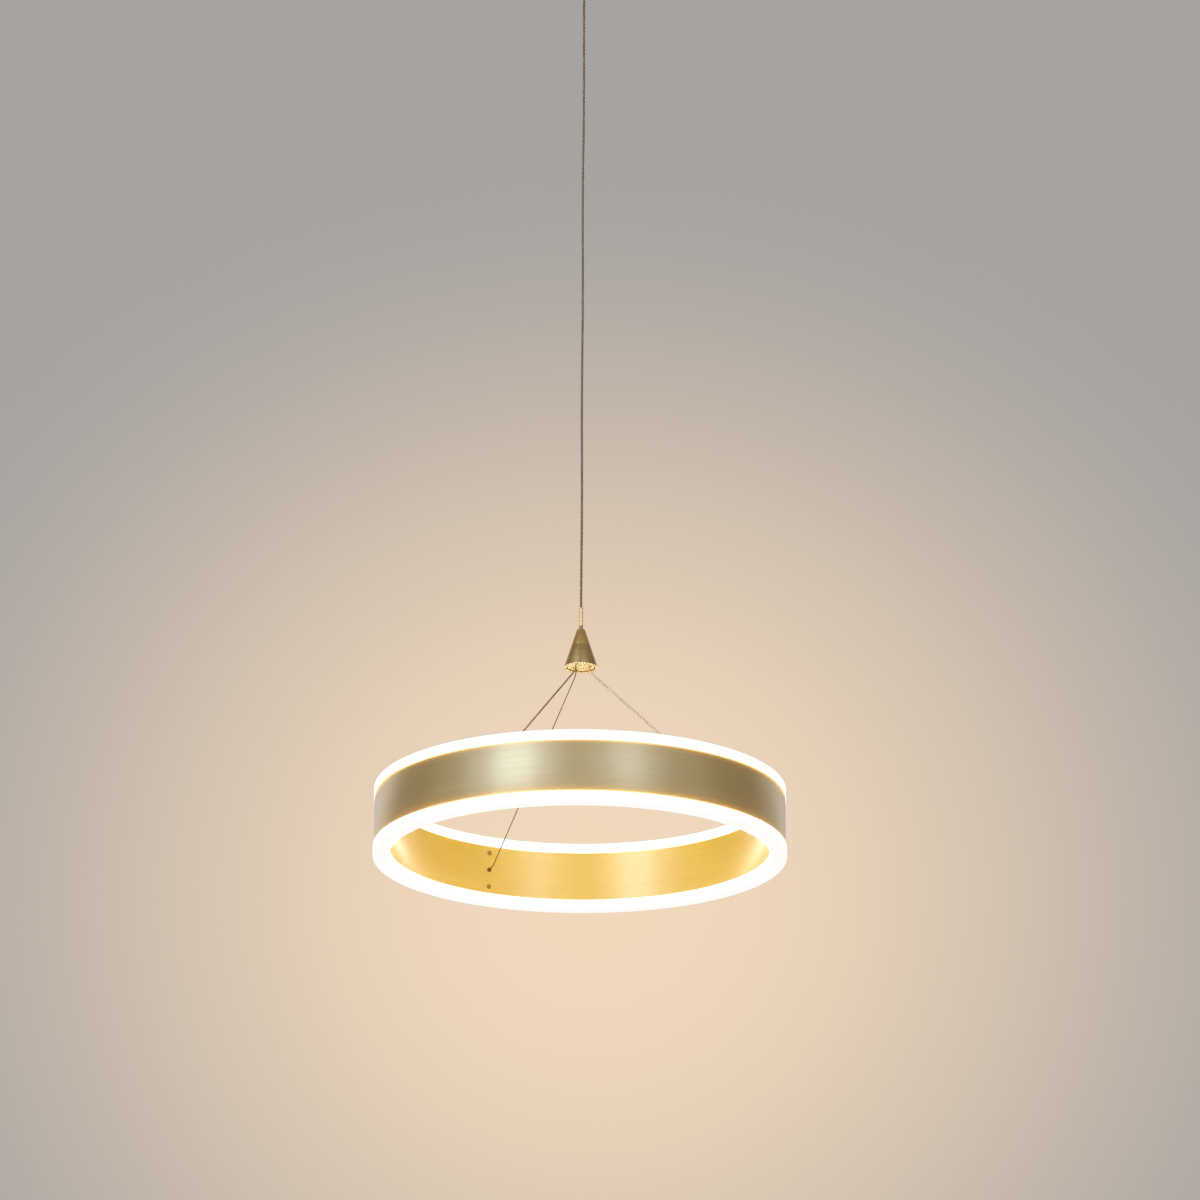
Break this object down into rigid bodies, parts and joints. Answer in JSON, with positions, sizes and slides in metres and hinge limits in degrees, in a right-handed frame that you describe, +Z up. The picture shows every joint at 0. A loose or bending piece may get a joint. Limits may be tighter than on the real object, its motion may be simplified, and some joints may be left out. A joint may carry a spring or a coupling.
{
  "type": "led ring pendant light",
  "caption": "Hoop-shaped LED pendant: brass-clad ring with glowing opal rims, hung by slanting wires from a small cone on an adjustable cable under a round canopy.",
  "frame": {"origin": "middle of the ceiling bracket's top face, which is the ceiling plane", "axes": "+Z up along the cable; +X along the bracket's slots; the picture looks along +Y from below"},
  "size_m": [0.4, 0.4, 1.0232],
  "materials": {
    "brushed_brass_band": "brushed along the hoop, satin",
    "turned_brass": "turned, satin",
    "canopy_brass": "spun, satin",
    "dark_bronze": "oxidised",
    "opal_acrylic": "opal, lit from inside",
    "bare_aluminium": "mill",
    "clear_sheath": "clear sheath over a grey core",
    "steel_wire": "drawn wire under a clear skin",
    "zinc_steel": "zinc plated",
    "white_nylon": "moulded",
    "white_plastic": "moulded",
    "circuit_board": "solder mask",
    "white_strip": "white solder mask",
    "led_phosphor": "phosphor",
    "grey_lead": "sheathed lead"
  },
  "bodies": {
    "ceiling_fitting": {"ceiling_bracket": "zinc_steel", "canopy_shell": "canopy_brass", "canopy_screws": "turned_brass", "earth_screw": "zinc_steel", "driver_case": "white_plastic", "driver_board": "circuit_board", "driver_lid": "white_plastic", "terminal_block": "white_plastic", "terminal_screws": "zinc_steel", "mains_lead": "grey_lead", "cable_tail": "clear_sheath", "swivel_cup": "turned_brass", "cup_washer": "zinc_steel", "cup_nut": "zinc_steel"},
    "swivel_liner": {"swivel_seat": "white_nylon"},
    "gripper": {"swivel_ball": "zinc_steel", "gripper_barrel": "turned_brass", "grip_spring": "zinc_steel", "drop_cable": "clear_sheath"},
    "release": {"release_plunger": "turned_brass", "grip_balls": "zinc_steel"},
    "cable_foot": {"cable_sleeve": "turned_brass", "cable_end": "clear_sheath", "cable_crimp": "zinc_steel", "thrust_washer": "white_nylon"},
    "light_head": {"cone_tip": "dark_bronze", "cone_cap": "turned_brass", "cone_shell": "turned_brass", "cone_base_plate": "turned_brass", "wire_crimps": "zinc_steel", "hanger_wire_1": "clear_sheath", "hanger_wire_2": "steel_wire", "hanger_wire_3": "steel_wire", "wire_bush_1": "dark_bronze", "wire_bush_2": "dark_bronze", "wire_bush_3": "dark_bronze", "band_screws": "dark_bronze", "outer_band": "brushed_brass_band", "inner_band": "brushed_brass_band", "led_carrier": "bare_aluminium", "led_strip_top": "white_strip", "led_strip_bottom": "white_strip", "led_chips_top": "led_phosphor", "led_chips_bottom": "led_phosphor", "strip_connector": "white_plastic", "diffuser_top": "opal_acrylic", "diffuser_bottom": "opal_acrylic"}
  },
  "joints": [
    {"name": "swing_x", "type": "hinge", "parent": "ceiling_fitting", "child": "swivel_liner", "pos_m": [0, 0, -0.034], "axis": [1, 0, 0], "range_deg": [-20, 20]},
    {"name": "swing_y", "type": "hinge", "parent": "swivel_liner", "child": "gripper", "pos_m": [0, 0, -0.034], "axis": [0, 1, 0], "range_deg": [-20, 20]},
    {"name": "release_press", "type": "slide", "parent": "gripper", "child": "release", "axis": [0, 0, 1], "range_m": [0, 0.002], "stiffness_N_per_m": 1500, "springref_m": -0.002, "deforming": ["grip_spring"]},
    {"name": "drop_adjust", "type": "slide", "parent": "gripper", "child": "cable_foot", "axis": [0, 0, 1], "range_m": [0, 0.4], "deforming": ["drop_cable"]},
    {"name": "head_twist", "type": "hinge", "parent": "cable_foot", "child": "light_head", "pos_m": [0, 0, -0.7881], "axis": [0, 0, 1], "range_deg": [-180, 180]}
  ]
}
